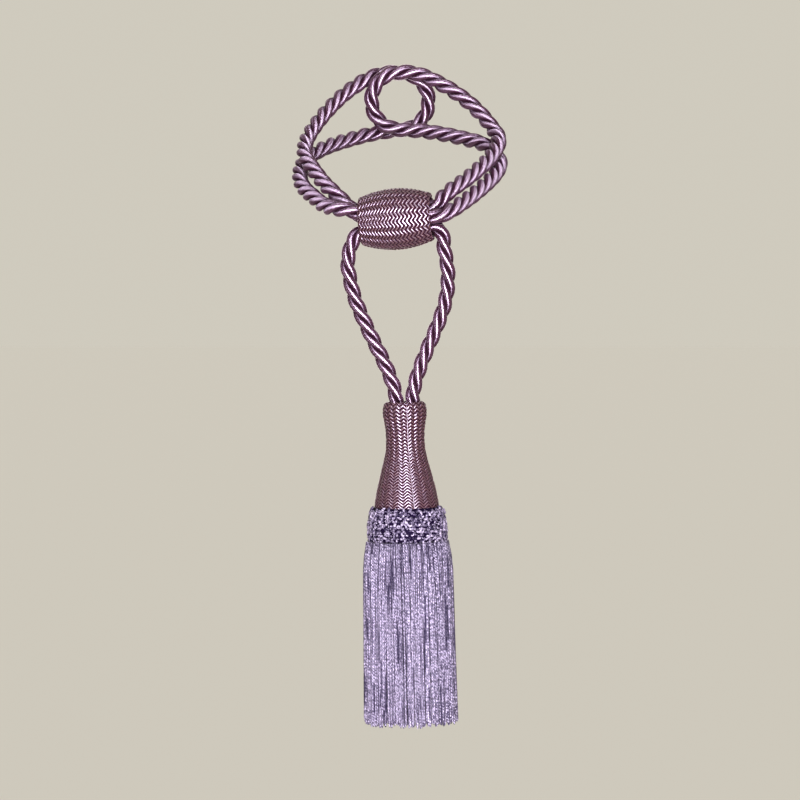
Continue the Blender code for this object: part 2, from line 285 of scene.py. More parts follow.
# Studio
CAMERA_DISTANCE = 2.4
CAMERA_ELEVATION = math.radians(2.5)
CAMERA_TARGET = (0.0, -0.14, -0.2037)
SENSOR_WIDTH = 36.0
VIEW_WIDTH = 0.532  # width of the frame at the target
FLOOR_HEIGHT = -1.9
FLOOR_REACH = 60.0
FLOOR_GLOW = 0.57  # makes the floor as pale as the backdrop
STUDIO_CENTRE = (0.0, -0.14, -0.2)
SOFTBOXES = (  # name, place, width and height, brightness, colour
    ("front_softbox", (0.08, -2.24, -0.34), (1.2, 1.8), 26.0, "FAF8FF"),
    ("high_softbox", (0.1, -1.1, 1.5), (0.35, 1.0), 16.0, "FAF8FF"),
    ("left_softbox", (-1.9, -1.0, -0.05), (0.25, 1.2), 7.0, "FAF8FF"),
    ("back_softbox", (-0.15, 1.96, 0.1), (2.0, 2.4), 3.0, "FFF8F4"),
)
ROOM_IN_FRONT = 0.14  # brightness of the light from the room
ROOM_BEHIND = 0.5
BACKDROP = 0.66  # brightness of the room as it is seen

EASED = {"interpolation_type": "SMOOTHSTEP"}  # for patterns with soft edges


def linear(hex_colour):
    """Linear RGBA of an sRGB hex colour."""
    parts = [int(hex_colour[i : i + 2], 16) / 255 for i in (0, 2, 4)]
    return [c / 12.92 if c <= 0.04045 else ((c + 0.055) / 1.055) ** 2.4 for c in parts] + [1.0]


def add_node(tree, kind, settings=None, inputs=None):
    """A new node with its settings, each input given a value or linked to a socket."""
    made = tree.nodes.new("ShaderNode" + kind)
    for name, value in (settings or {}).items():
        setattr(made, name, value)
    for name, value in (inputs or {}).items():
        if isinstance(value, bpy.types.NodeSocket):
            tree.links.new(value, made.inputs[name])
        else:
            made.inputs[name].default_value = value
    return made.outputs[0]


def new_material(name, sockets):
    """A material with these constant values on its shader."""
    material = bpy.data.materials.new(name)
    material.use_nodes = True
    shader = material.node_tree.nodes["Principled BSDF"]
    for socket, value in sockets.items():
        shader.inputs[socket].default_value = value
    return material, material.node_tree, shader


def winding_axes(tree):
    """The UV map of the winding, and its values apart."""
    winding = add_node(tree, "UVMap", {"uv_map": "winding"})
    return winding, add_node(tree, "SeparateXYZ", inputs={"Vector": winding}).node.outputs


def satin_braid():
    """Braid of rayon satin yarn: glossy strokes with flat fibres, and shade painted wine-dark into the gaps.

    Filaments that lie side by side shine more than rayon's own IOR of about 1.5 gives, so it is raised
    here and on the rope.
    """
    material, tree, shader = new_material(
        "rayon satin braid",
        {
            "IOR": 1.8,
            "Specular IOR Level": 1.0,
            "Anisotropic": 0.7,
            "Sheen Weight": 0.08,
            "Sheen Roughness": 0.4,
            "Sheen Tint": linear("B09088"),
        },
    )
    # The gloss is drawn out along each yarn.
    tangent = add_node(tree, "Tangent", {"direction_type": "UV_MAP", "uv_map": "winding"})
    tree.links.new(tangent, shader.inputs["Tangent"])
    # The first value counts the ribs round the mould, 4 to 7 mm wide, and the second the rings of yarn,
    # 2 to 3 mm wide.
    winding, axes = winding_axes(tree)
    # Painted shade: the gaps between rings of yarn, and less so the valleys between ribs, are coloured dark.
    crown = add_node(tree, "Math", {"operation": "PINGPONG"}, {0: axes["Y"], 1: 0.5})
    gap = add_node(
        tree,
        "MapRange",
        EASED,
        {"Value": crown, "From Min": 0.12, "From Max": 0.3, "To Min": 1.0, "To Max": 0.0},
    )
    rib = add_node(tree, "Math", {"operation": "PINGPONG"}, {0: axes["X"], 1: 0.5})
    valley = add_node(
        tree, "MapRange", EASED, {"Value": rib, "From Min": 0.4, "From Max": 0.5, "To Max": 0.3}
    )
    # Fibres run along the yarn: 0.2 mm across and about 2 mm long.
    stretched = add_node(tree, "Mapping", inputs={"Vector": winding, "Scale": (3.0, 14.0, 1.0)})
    fibres = add_node(tree, "TexNoise", inputs={"Vector": stretched, "Scale": 1.0, "Detail": 2.0})
    # The tone drifts from one stroke to the next.
    stroke = add_node(tree, "Mapping", inputs={"Vector": winding, "Scale": (2.0, 1.0, 1.0)})
    shade = add_node(tree, "TexNoise", inputs={"Vector": stroke, "Scale": 0.7, "Detail": 1.0})
    share = add_node(tree, "MapRange", inputs={"Value": shade, "From Min": 0.35, "From Max": 0.65})
    yarn = add_node(
        tree, "MixRGB", inputs={"Fac": share, "Color1": linear("3A2224"), "Color2": linear("4A2C2A")}
    )
    lit = add_node(tree, "Math", {"operation": "MULTIPLY"}, {0: fibres, 1: 0.5})
    yarn = add_node(tree, "MixRGB", inputs={"Fac": lit, "Color1": yarn, "Color2": linear("46323C")})
    # The yarn's own twist ripples it two or three times in a millimetre.
    crossways = add_node(tree, "Mapping", inputs={"Vector": winding, "Scale": (14.0, 1.5, 1.0)})
    ripple = add_node(tree, "TexNoise", inputs={"Vector": crossways, "Scale": 1.0, "Detail": 0.0})
    # Painted shade: gaps and valleys are darkened towards 241216.
    dark = add_node(tree, "Math", {"operation": "MAXIMUM"}, {0: gap, 1: valley})
    colour = add_node(tree, "MixRGB", inputs={"Fac": dark, "Color1": yarn, "Color2": linear("241216")})
    tree.links.new(colour, shader.inputs["Base Color"])
    # Painted shade on the gloss: its tint turns dark purple in the gaps and the valleys.
    glint = add_node(
        tree, "MixRGB", inputs={"Fac": dark, "Color1": linear("F4ECFF"), "Color2": linear("3A2050")}
    )
    tree.links.new(glint, shader.inputs["Specular Tint"])
    dull = add_node(tree, "MapRange", inputs={"Value": dark, "To Min": 0.28, "To Max": 0.5})
    tree.links.new(dull, shader.inputs["Roughness"])
    bump = add_node(tree, "Bump", inputs={"Height": ripple, "Distance": 0.01 * MM, "Strength": 1.0})
    tree.links.new(bump, shader.inputs["Normal"])
    return material


def satin_rope():
    """Rayon satin strands: smooth parallel yarns with one sharp white streak each, and painted shade in
    grooves and crevices.
    """
    material, tree, shader = new_material(
        "rayon satin rope",
        {
            "IOR": 2.3,
            "Specular IOR Level": 1.0,
            "Anisotropic": 1.0,
            "Anisotropic Rotation": 0.25,
            "Sheen Weight": 0.06,
            "Sheen Roughness": 0.4,
            "Sheen Tint": linear("A88C88"),
        },
    )
    # The gloss is drawn out lengthwise, a quarter turn from the way round the strand.
    tangent = add_node(tree, "Tangent", {"direction_type": "UV_MAP", "uv_map": "winding"})
    tree.links.new(tangent, shader.inputs["Tangent"])
    # The first value counts the yarns round a strand from its crest, where the strand is outermost, and
    # the second is the length in millimetres.
    winding, axes = winding_axes(tree)
    yarn_place = add_node(tree, "Math", {"operation": "PINGPONG"}, {0: axes["X"], 1: 0.5})
    groove = add_node(tree, "MapRange", EASED, {"Value": yarn_place, "From Min": 0.22, "From Max": 0.46})
    off_crest = add_node(tree, "Math", {"operation": "PINGPONG"}, {0: axes["X"], 1: YARNS_ROUND_STRAND / 2})
    crevice = add_node(
        tree, "MapRange", EASED, {"Value": off_crest, "From Min": 1.3, "From Max": 4.2, "To Max": 0.9}
    )
    # Painted shade: the grooves between the yarns are darkened, more towards the crevice.
    line = add_node(tree, "Math", {"operation": "MULTIPLY_ADD"}, {0: crevice, 1: 0.75, 2: 0.15})
    line = add_node(tree, "Math", {"operation": "MULTIPLY"}, {0: groove, 1: line})
    # Tones drift over about 30 mm of a yarn, fibres over about 5 mm.
    long_way = add_node(tree, "Mapping", inputs={"Vector": winding, "Scale": (0.9, 0.03, 1.0)})
    tone = add_node(tree, "TexNoise", inputs={"Vector": long_way, "Scale": 1.0, "Detail": 1.0})
    short_way = add_node(tree, "Mapping", inputs={"Vector": winding, "Scale": (4.0, 0.2, 1.0)})
    fibres = add_node(tree, "TexNoise", inputs={"Vector": short_way, "Scale": 1.0, "Detail": 2.0})
    # The yarn's own twist ripples it every third of a millimetre.
    crossways = add_node(tree, "Mapping", inputs={"Vector": winding, "Scale": (0.35, 3.0, 1.0)})
    ripple = add_node(tree, "TexNoise", inputs={"Vector": crossways, "Scale": 1.0, "Detail": 0.0})
    share = add_node(tree, "MapRange", inputs={"Value": tone, "From Min": 0.35, "From Max": 0.65})
    yarn = add_node(
        tree, "MixRGB", inputs={"Fac": share, "Color1": linear("2A1422"), "Color2": linear("381E28")}
    )
    lit = add_node(tree, "Math", {"operation": "MULTIPLY"}, {0: fibres, 1: 0.45})
    yarn = add_node(tree, "MixRGB", inputs={"Fac": lit, "Color1": yarn, "Color2": linear("4C3044")})
    # Painted shade: grooves darken to 10040E, and the crevice between strands to 18060E.
    yarn = add_node(tree, "MixRGB", inputs={"Fac": line, "Color1": yarn, "Color2": linear("10040E")})
    painted_deep_shade = add_node(tree, "Math", {"operation": "MULTIPLY"}, {0: crevice, 1: 0.4})
    colour = add_node(tree, "MixRGB", inputs={"Fac": painted_deep_shade, "Color1": yarn, "Color2": linear("18060E")})
    tree.links.new(colour, shader.inputs["Base Color"])
    # Painted shade on the gloss: its tint turns dark in the grooves and the crevice, keeping the streak to
    # the crest.
    low = add_node(tree, "Math", {"operation": "MULTIPLY"}, {0: crevice, 1: 0.9})
    shut = add_node(tree, "Math", {"operation": "MAXIMUM"}, {0: line, 1: low})
    glint = add_node(
        tree, "MixRGB", inputs={"Fac": shut, "Color1": linear("ECD8F0"), "Color2": linear("180C20")}
    )
    tree.links.new(glint, shader.inputs["Specular Tint"])
    dull = add_node(tree, "MapRange", inputs={"Value": line, "From Min": 0.4, "To Min": 0.4, "To Max": 0.6})
    tree.links.new(dull, shader.inputs["Roughness"])
    bump = add_node(tree, "Bump", inputs={"Height": ripple, "Distance": 0.02 * MM, "Strength": 1.0})
    tree.links.new(bump, shader.inputs["Normal"])
    return material


def twisted_yarn(name, pitch, dark, middle, light, roughness):
    """Two-ply rayon yarn: slanting plies with a glint on each, and painted shade as a dark line between.

    pitch is the distance from ply to ply along it, in millimetres. No two threads look alike.
    """
    # dark is the colour of painted shade, and also of threads dimmed at random.
    material, tree, shader = new_material(
        name,
        {
            "Roughness": roughness,
            "IOR": 1.55,
            "Specular IOR Level": 0.7,
            "Sheen Weight": 0.1,
            "Sheen Roughness": 0.35,
            "Sheen Tint": linear("B8ACC4"),
        },
    )
    # The first value counts the threads and the way round each, the second is the length in millimetres.
    winding, axes = winding_axes(tree)
    thread = add_node(tree, "Math", {"operation": "FLOOR"}, {0: axes["X"]})
    chance = add_node(tree, "TexWhiteNoise", {"noise_dimensions": "1D"}, {"W": thread})
    length = add_node(tree, "Math", {"operation": "MULTIPLY_ADD"}, {0: axes["Y"], 1: 1 / pitch, 2: chance})
    turn = add_node(tree, "Math", {"operation": "MULTIPLY_ADD"}, {0: axes["X"], 1: 2.0, 2: length})
    ply = add_node(tree, "Math", {"operation": "PINGPONG"}, {0: turn, 1: 0.5})
    groove = add_node(
        tree, "MapRange", EASED, {"Value": ply, "From Max": 0.24, "To Min": 1.0, "To Max": 0.0}
    )
    # Slubs are about 2 mm long.
    stretched = add_node(tree, "Mapping", inputs={"Vector": winding, "Scale": (0.9, 0.55, 1.0)})
    slubs = add_node(tree, "TexNoise", inputs={"Vector": stretched, "Scale": 1.0, "Detail": 1.0})
    share = add_node(tree, "MapRange", inputs={"Value": slubs, "From Min": 0.42, "From Max": 0.6})
    yarn = add_node(tree, "MixRGB", inputs={"Fac": share, "Color1": linear(middle), "Color2": linear(light)})
    # Painted shade: here and there a thread is darkened for about 40 mm, in a place of its own.
    own_way = add_node(tree, "Math", {"operation": "MULTIPLY"}, {0: thread, 1: 7.3})
    long_way = add_node(tree, "Math", {"operation": "MULTIPLY"}, {0: axes["Y"], 1: 0.025})
    long_way = add_node(tree, "Math", {"operation": "MULTIPLY_ADD"}, {0: thread, 1: 3.7, 2: long_way})
    long_way = add_node(tree, "CombineXYZ", inputs={"X": own_way, "Y": long_way})
    depth = add_node(tree, "TexNoise", inputs={"Vector": long_way, "Scale": 1.0, "Detail": 0.0})
    painted_deep_shade = add_node(
        tree, "MapRange", inputs={"Value": depth, "From Min": 0.59, "From Max": 0.65, "To Max": 0.85}
    )
    faded = add_node(tree, "Math", {"operation": "MULTIPLY"}, {0: chance, 1: 0.3})
    # Painted shade and threads dimmed at random, together.
    shade_and_dim_tone = add_node(tree, "Math", {"operation": "MAXIMUM"}, {0: painted_deep_shade, 1: faded})
    yarn = add_node(tree, "MixRGB", inputs={"Fac": shade_and_dim_tone, "Color1": yarn, "Color2": linear(dark)})
    # Painted shade in the groove between the plies.
    line = add_node(tree, "Math", {"operation": "MULTIPLY"}, {0: groove, 1: 0.8})
    colour = add_node(tree, "MixRGB", inputs={"Fac": line, "Color1": yarn, "Color2": linear(dark)})
    tree.links.new(colour, shader.inputs["Base Color"])
    # Painted shade on the gloss: its tint turns dark in the grooves and on the darkened and dimmed threads.
    shut = add_node(tree, "Math", {"operation": "MAXIMUM"}, {0: line, 1: shade_and_dim_tone})
    glint = add_node(
        tree, "MixRGB", inputs={"Fac": shut, "Color1": linear("F6F0FF"), "Color2": linear("302048")}
    )
    tree.links.new(glint, shader.inputs["Specular Tint"])
    height = add_node(tree, "Math", {"operation": "SUBTRACT"}, {0: share, 1: groove})
    bump = add_node(tree, "Bump", inputs={"Height": height, "Distance": 0.3 * MM, "Strength": 0.9})
    tree.links.new(bump, shader.inputs["Normal"])
    return material


def trim_band():
    """Plain woven cotton band under the knots: matt, near-black as painted shade between the knots, threads
    0.8 mm apart.
    """
    material, tree, shader = new_material("woven trim band", {"Roughness": 0.8, "Specular IOR Level": 0.1})
    place = add_node(tree, "TexCoord").node.outputs["Object"]
    weave = add_node(tree, "TexVoronoi", inputs={"Vector": place, "Scale": 1 / (0.8 * MM)})
    # Painted shade: the band is near-black so that the gaps between the knots read as shade.
    colour = add_node(
        tree, "MixRGB", inputs={"Fac": weave, "Color1": linear("1C0E2C"), "Color2": linear("0A0414")}
    )
    tree.links.new(colour, shader.inputs["Base Color"])
    bump = add_node(tree, "Bump", inputs={"Height": weave, "Distance": 0.3 * MM, "Strength": 0.7})
    tree.links.new(bump, shader.inputs["Normal"])
    return material


def painted_floor():
    """Matt floor paint with a little roller texture, which the camera sees as pale as the backdrop."""
    material, tree, shader = new_material(
        "painted studio floor",
        {"Base Color": linear("807C74"), "Roughness": 0.9, "Emission Color": linear("E9E4D8")},
    )
    seen = add_node(tree, "LightPath").node.outputs["Is Camera Ray"]
    glow = add_node(tree, "Math", {"operation": "MULTIPLY"}, {0: seen, 1: FLOOR_GLOW})
    tree.links.new(glow, shader.inputs["Emission Strength"])
    place = add_node(tree, "TexCoord").node.outputs["Object"]
    grain = add_node(tree, "TexNoise", inputs={"Vector": place, "Scale": 1 / (4 * MM), "Detail": 2.0})
    bump = add_node(tree, "Bump", inputs={"Height": grain, "Distance": 0.2 * MM, "Strength": 0.3})
    tree.links.new(bump, shader.inputs["Normal"])
    return material


def slider_matrix():
    """From the barrel's own place, with its axis along X, to where it hangs."""
    turn = Matrix.Rotation(-SLIDER_YAW, 4, "Z")
    tilt = Matrix.Rotation(-SLIDER_TILT, 4, "Y")
    return Matrix.Translation(Vector(SLIDER_CENTRE)) @ turn @ tilt


def tassel_matrix():
    """From the tassel's own place, upright with the head's top at the origin, to where it hangs."""
    return Matrix.Translation(Vector(TASSEL_TOP)) @ Matrix.Rotation(-TASSEL_LEAN, 4, "Y")


def coordinates(mesh):
    """The mesh's points, one in each row."""
    flat = np.empty(len(mesh.vertices) * 3)
    mesh.vertices.foreach_get("co", flat)
    return flat.reshape(-1, 3)


def moved(points, matrix):
    return points @ np.array(matrix.to_3x3()).T + np.array(matrix.translation)


def set_coordinates(mesh, points):
    mesh.vertices.foreach_set("co", np.ascontiguousarray(points, dtype=np.float32).ravel())
    mesh.update()


def layer_values(mesh, name):
    """The value of a layer at each point."""
    values = np.empty(len(mesh.vertices), dtype=np.float32)
    mesh.attributes[name].data.foreach_get("value", values)
    return values


def set_winding(mesh, round_it, along_it, whole_turn):
    """UV map of the winding from values at the vertices. round_it runs to whole_turn and starts again."""
    corner = np.empty(len(mesh.loops), dtype=np.int32)
    mesh.loops.foreach_get("vertex_index", corner)
    first = np.empty(len(mesh.polygons), dtype=np.int32)
    mesh.polygons.foreach_get("loop_start", first)
    count = np.diff(np.append(first, len(corner)))
    across = round_it[corner]
    furthest = np.repeat(np.maximum.reduceat(across, first), count)
    across = np.where(furthest - across > whole_turn / 2, across + whole_turn, across)
    uv = mesh.uv_layers.new(name="winding")
    uv.data.foreach_set("uv", np.column_stack([across, along_it[corner]]).astype(np.float32).ravel())


def turn_outline(bm, verts, edges, steps):
    """Spin the outline a full turn round the Z axis."""
    bmesh.ops.spin(
        bm,
        geom=verts + edges,
        cent=(0, 0, 0),
        axis=(0, 0, 1),
        angle=math.tau,
        steps=steps,
        use_merge=True,
    )


def finished_mesh(name, bm):
    """The closed shape as a mesh, its doubles merged and its faces outward."""
    bmesh.ops.remove_doubles(bm, verts=bm.verts, dist=1e-6)
    bmesh.ops.holes_fill(bm, edges=bm.edges, sides=0)
    bmesh.ops.recalc_face_normals(bm, faces=bm.faces)
    mesh = bpy.data.meshes.new(name)
    bm.to_mesh(mesh)
    bm.free()
    return mesh


def dress(mesh, material, slot, *nodes):
    """The finished piece: smooth, with its material, riding on the frame in place of its nodes."""
    mesh.shade_smooth()
    mesh.materials.append(material)
    piece = bpy.data.objects.new(mesh.name, mesh)
    bpy.context.scene.collection.objects.link(piece)
    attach(piece, "root")
    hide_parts(*nodes)
    return piece


def bore_pass(left_angle, right_angle, rightward):
    """Places of one pass of the rope through the slider's bore, its angles counted from the top forward."""
    reach = SLIDER_LENGTH / 2 - 1.0 * MM
    places = []
    for share in np.linspace(0, 1, PASS_POINTS):
        eased = share * share * (3 - 2 * share)
        angle = math.radians(left_angle + (right_angle - left_angle) * eased)
        radius = PASS_RADIUS + PASS_FLARE * (2 * share - 1) ** 6
        along = reach * (2 * share - 1)
        local = Vector((along, -radius * math.sin(angle), radius * math.cos(angle)))
        places.append(tuple(slider_matrix() @ local))
    return places if rightward else places[::-1]


def mixed(t, low, high, start, end):
    """From start, at t = low, to end, at t = high, along a straight line."""
    return ((high - t) * start + (t - low) * end) / (high - low)


def smooth_route(knots, step):
    """Evenly spaced points along a centripetal Catmull-Rom curve through the knots."""
    knots = [np.array(knot, float) for knot in knots]
    knots = [2 * knots[0] - knots[1], *knots, 2 * knots[-1] - knots[-2]]
    fine = []
    for group in zip(knots, knots[1:], knots[2:], knots[3:]):
        times = [0.0]
        for near, far in zip(group, group[1:]):
            times.append(times[-1] + math.sqrt(np.linalg.norm(far - near)))
        for t in np.linspace(times[1], times[2], 16, endpoint=False):
            first = [mixed(t, times[i], times[i + 1], group[i], group[i + 1]) for i in range(3)]
            second = [mixed(t, times[i], times[i + 2], first[i], first[i + 1]) for i in range(2)]
            fine.append(mixed(t, times[1], times[2], *second))
    fine = np.array([*fine, knots[-2]])
    lengths = np.concatenate([[0], np.cumsum(np.linalg.norm(np.diff(fine, axis=0), axis=1))])
    even = np.linspace(0, lengths[-1], round(lengths[-1] / step) + 1)
    return np.column_stack([np.interp(even, lengths, fine[:, axis]) for axis in range(3)])


def rope_route(step):
    """The whole rope, from its left end in the head to its right end there."""
    knots = [
        *LEFT_LEG,
        *bore_pass(180.0, 90.0, True),
        *RIGHT_BIGHT,
        *bore_pass(48.0, -30.0, False),
        *LEFT_BIGHT,
        *bore_pass(-65.0, -150.0, True),
        *RIGHT_LEG,
    ]
    return smooth_route(knots, step)


def steady_frames(route):
    """Two directions square to the route at each point, carried along it without turning about it."""
    tangents = np.gradient(route, axis=0)
    tangents /= np.linalg.norm(tangents, axis=1)[:, None]
    side = np.cross(tangents[0], (0, 1, 0))
    sides = []
    for tangent in tangents:
        side = side - tangent * side.dot(tangent)
        side /= np.linalg.norm(side)
        sides.append(side)
    sides = np.array(sides)
    return sides, np.cross(tangents, sides)


def fullness(route):
    """How full the rope lies: 1 in the slider and in the stretched legs, more where it hangs loose."""
    away = np.linalg.norm(route - np.array(SLIDER_CENTRE), axis=1)
    out_of_slider = np.clip((away - LOOSE_FROM) / LOOSE_WITHIN, 0, 1)
    above_legs = np.clip((route[:, 2] - LEGS_HEIGHT) / LEGS_WITHIN, 0, 1)
    return 1 + LOOSE_FULLNESS * (out_of_slider * above_legs)


def laid_along(points, route):
    """Points made along +Z from the origin, bent onto the route."""
    step = np.linalg.norm(np.diff(route, axis=0), axis=1).mean()
    sides, ups = steady_frames(route)
    place = np.clip(points[:, 2] / step, 0, len(route) - 1.0001)
    low = place.astype(int)
    share = (place - low)[:, None]
    centre, side, up = [(1 - share) * a[low] + share * a[low + 1] for a in (route, sides, ups)]
    full = fullness(route)[low][:, None]
    return centre + full * (points[:, :1] * side + points[:, 1:2] * up)


def strand_angles():
    """Angles round a strand from its outward side: four to a yarn where it shows, few inside."""
    shown = [step * 90 / YARNS_ROUND_STRAND for step in range(-20, 21)]
    return np.radians([*shown, 155, 180, 205, shown[0] + 360])


def flat_grid(name, columns, rows):
    """A grid to be rolled up, and the place of its points across and along it, from 0 to 1."""
    bm = bmesh.new()
    bmesh.ops.create_grid(bm, x_segments=columns, y_segments=rows, size=0.5)
    mesh = bpy.data.meshes.new(name + "_grid")
    bm.to_mesh(mesh)
    bm.free()
    across, along, _ = (coordinates(mesh) + 0.5).T
    return mesh, across, along


def rolled_up(name, mesh, points):
    """The grid with its points in place, closed into a tube."""
    set_coordinates(mesh, points)
    bm = bmesh.new()
    bm.from_mesh(mesh)
    bpy.data.meshes.remove(mesh)
    return finished_mesh(name, bm)


def build_strand(name, start_angle, route, material):
    """One strand: a grid rolled into a tube, wound up as a helix, and laid along the rope's route."""
    angles = strand_angles()
    columns = len(angles) - 1
    mesh, round_it, up_it = flat_grid(name, columns, round(ROPE_LENGTH / STRAND_STEP))
    angle = np.interp(round_it * columns, range(len(angles)), angles)
    height = up_it * ROPE_LENGTH
    groove = YARN_GROOVE * (1 - np.abs(np.cos(angle * YARNS_ROUND_STRAND / 2)))
    outward = STRAND_CENTRE + (STRAND_OUTWARD - groove) * np.cos(angle)
    across = (STRAND_ACROSS - groove) * np.sin(angle)
    turn = start_angle - math.tau * height / ROPE_LAY
    x = outward * np.cos(turn) - across * np.sin(turn)
    y = outward * np.sin(turn) + across * np.cos(turn)
    set_winding(mesh, angle / math.tau * YARNS_ROUND_STRAND, height / MM, YARNS_ROUND_STRAND)
    mesh = rolled_up(name, mesh, laid_along(np.column_stack([x, y, height]), route))
    return dress(mesh, material, "satin_rope", "rope")


def build_rope():
    """Three strands along one route."""
    material = satin_rope()
    route = rope_route(1.0 * MM)
    strands = [
        build_strand(f"rope_strand_{number + 1}", math.tau * number / ROPE_STRANDS, route, material)
        for number in range(ROPE_STRANDS)
    ]
    [tuple(point) for point in rope_route(3.0 * MM)]


class Mould:
    """A turned outline, read by the length along it. Its outside is on the right as heights rise."""

    def __init__(self, outline):
        self.outline = np.array(outline, float)
        steps = np.linalg.norm(np.diff(self.outline, axis=0), axis=1)
        self.lengths = np.concatenate([[0], np.cumsum(steps)])

    def at(self, along):
        return [np.interp(along, self.lengths, self.outline[:, i]) for i in range(2)]

    def outward(self, along, reach=0.9 * MM):
        ahead, behind = self.at(along + reach), self.at(along - reach)
        radial, upward = ahead[1] - behind[1], behind[0] - ahead[0]
        size = np.maximum(np.hypot(radial, upward), 1e-9)
        return radial / size, upward / size


def braided(name, mould, ring_edges, ribs, rise, rib, slant, crest, drift, matrix):
    """The mould's skin, with rings of yarn wound on it that lengthwise ribs draw into a herringbone.

    ring_edges are lengths along the outline. rise is how far the yarn stands out, rib how far the ribs
    do, and slant how far the yarn is drawn along, for each unit of radius. crest is the angle of one
    rib at the first ring, and drift how far the ribs turn by the last. matrix places the cover.
    """
    first, last = ring_edges[0], ring_edges[-1]
    profile = [(along, 0.0, 0.0) for along in mould.lengths if along < first - 0.2 * MM]
    for number, (low, high) in enumerate(zip(ring_edges, ring_edges[1:])):
        for share, lift in YARN_SECTION:
            profile.append((low + (high - low) * share, lift * rise, number + share))
    count = len(ring_edges) - 1
    profile.append((last, 0.0, count))
    profile += [(along, 0.0, count) for along in mould.lengths if along > last + 0.2 * MM]
    bm = bmesh.new()
    along_layer = bm.verts.layers.float.new("along")
    lift_layer = bm.verts.layers.float.new("lift")
    ring_layer = bm.verts.layers.float.new("ring")
    verts = []
    for along, lift, ring in profile:
        radius, height = mould.at(along)
        side, up = mould.outward(along)
        off_axis = max(radius, 1e-6) + lift * side
        vert = bm.verts.new((off_axis if radius > 1e-6 else 0.0, 0, height + lift * up))
        vert[along_layer], vert[lift_layer], vert[ring_layer] = along, lift, ring
        verts.append(vert)
    edges = [bm.edges.new(pair) for pair in zip(verts, verts[1:])]
    if profile[0][0] == 0 and mould.outline[0][0] > 0:
        edges.append(bm.edges.new((verts[-1], verts[0])))
    turn_outline(bm, verts, edges, STEPS_IN_RIB * ribs)
    mesh = finished_mesh(name, bm)
    points = coordinates(mesh)
    along, lift, ring = [layer_values(mesh, layer) for layer in ("along", "lift", "ring")]
    angle = np.arctan2(points[:, 1], points[:, 0]) % math.tau
    covered = (along > first - 0.1 * MM) & (along < last + 0.1 * MM)
    progress = np.clip((along - first) / (last - first), 0, 1)
    phase = ribs * (angle - crest - drift * progress)
    # No two strokes are quite alike: each has its own fullness and place.
    chance = np.random.default_rng(len(ring_edges)).uniform(-1, 1, (2, count + 1, 2 * ribs))
    lane = np.floor(phase / math.pi).astype(int) % (2 * ribs)
    row = np.clip(ring, 0, count - 0.001).astype(int)
    middle = np.sin(phase % math.pi)
    plumper, nudge = [table[row, lane] * middle for table in chance]
    ends = np.clip(np.minimum(along - first, last - along) / COVER_ENDS, 0, 1) * covered
    radius, _ = mould.at(along)
    swing = slant * radius * 2 / math.pi * np.arcsin(0.97 * np.cos(phase))
    shifted = along + (swing + STROKE_NUDGE * nudge) * ends
    radius, height = mould.at(shifted)
    side, up = mould.outward(shifted)
    ridge = np.abs(np.cos(phase / 2))
    # The yarn stands highest on the ribs, and sinks to six tenths in the valleys between them.
    out = (lift * (0.62 + 0.38 * ridge + 0.25 * plumper) + rib * (ridge - 0.5)) * ends
    on_axis = np.hypot(points[:, 0], points[:, 1]) < 1e-6
    radius = np.where(on_axis, 0, radius + out * side)
    placed = np.column_stack([radius * np.cos(angle), radius * np.sin(angle), height + out * up])
    set_winding(mesh, phase / math.tau % ribs, ring, ribs)
    set_coordinates(mesh, moved(placed, matrix))
    return mesh


def graded_edges(first, last, pitches):
    """Ring edges from first to last, the pitch changing evenly through the given (share, pitch) pairs."""
    shares, sizes = zip(*pitches)
    edges = [first]
    while edges[-1] < last:
        share = (edges[-1] - first) / (last - first)
        edges.append(edges[-1] + np.interp(share, shares, sizes) * MM)
    edges = np.array(edges)
    return list(first + (edges - first) * (last - first) / (edges[-1] - first))


def slider_outline():
    """Crowned outside from end to end, then back through the bore with its flared mouths."""
    half = SLIDER_LENGTH / 2
    outside = []
    for along in np.linspace(-half + SLIDER_EDGE, half - SLIDER_EDGE, 25):
        outside.append((SLIDER_RADIUS - SLIDER_CROWN * (along / half) ** 2, along))
    shoulder = outside[-1][0]
    for step in range(1, 7):
        angle = math.radians(15 * step)
        radius = shoulder - SLIDER_EDGE * (1 - math.cos(angle)) * 0.75
        along = half - SLIDER_EDGE * (1 - math.sin(angle))
        outside.append((radius, along))
        outside.insert(0, (radius, -along))
    flare = [
        (MOUTH_RADIUS, half),
        (BORE_RADIUS + 0.4 * MM, half - MOUTH_DEPTH / 2),
        (BORE_RADIUS, half - MOUTH_DEPTH),
    ]
    other = [(radius, -along) for radius, along in reversed(flare)]
    return other[1:] + outside + flare


def build_slider(material):
    """The barrel's braided cover, which goes round the edges into the flared mouths."""
    mould = Mould(slider_outline())
    edges = graded_edges(mould.lengths[1], mould.lengths[-3], SLIDER_PITCHES)
    mesh = braided(
        "slider_cover",
        mould,
        edges,
        SLIDER_RIBS,
        rise=0.6 * MM,
        rib=0.3 * MM,
        slant=0.066,
        crest=SLIDER_CREST,
        drift=0.0,
        matrix=slider_matrix() @ Matrix.Rotation(math.pi / 2, 4, "Y"),
    )
    dress(mesh, material, "satin_braid", "slider")


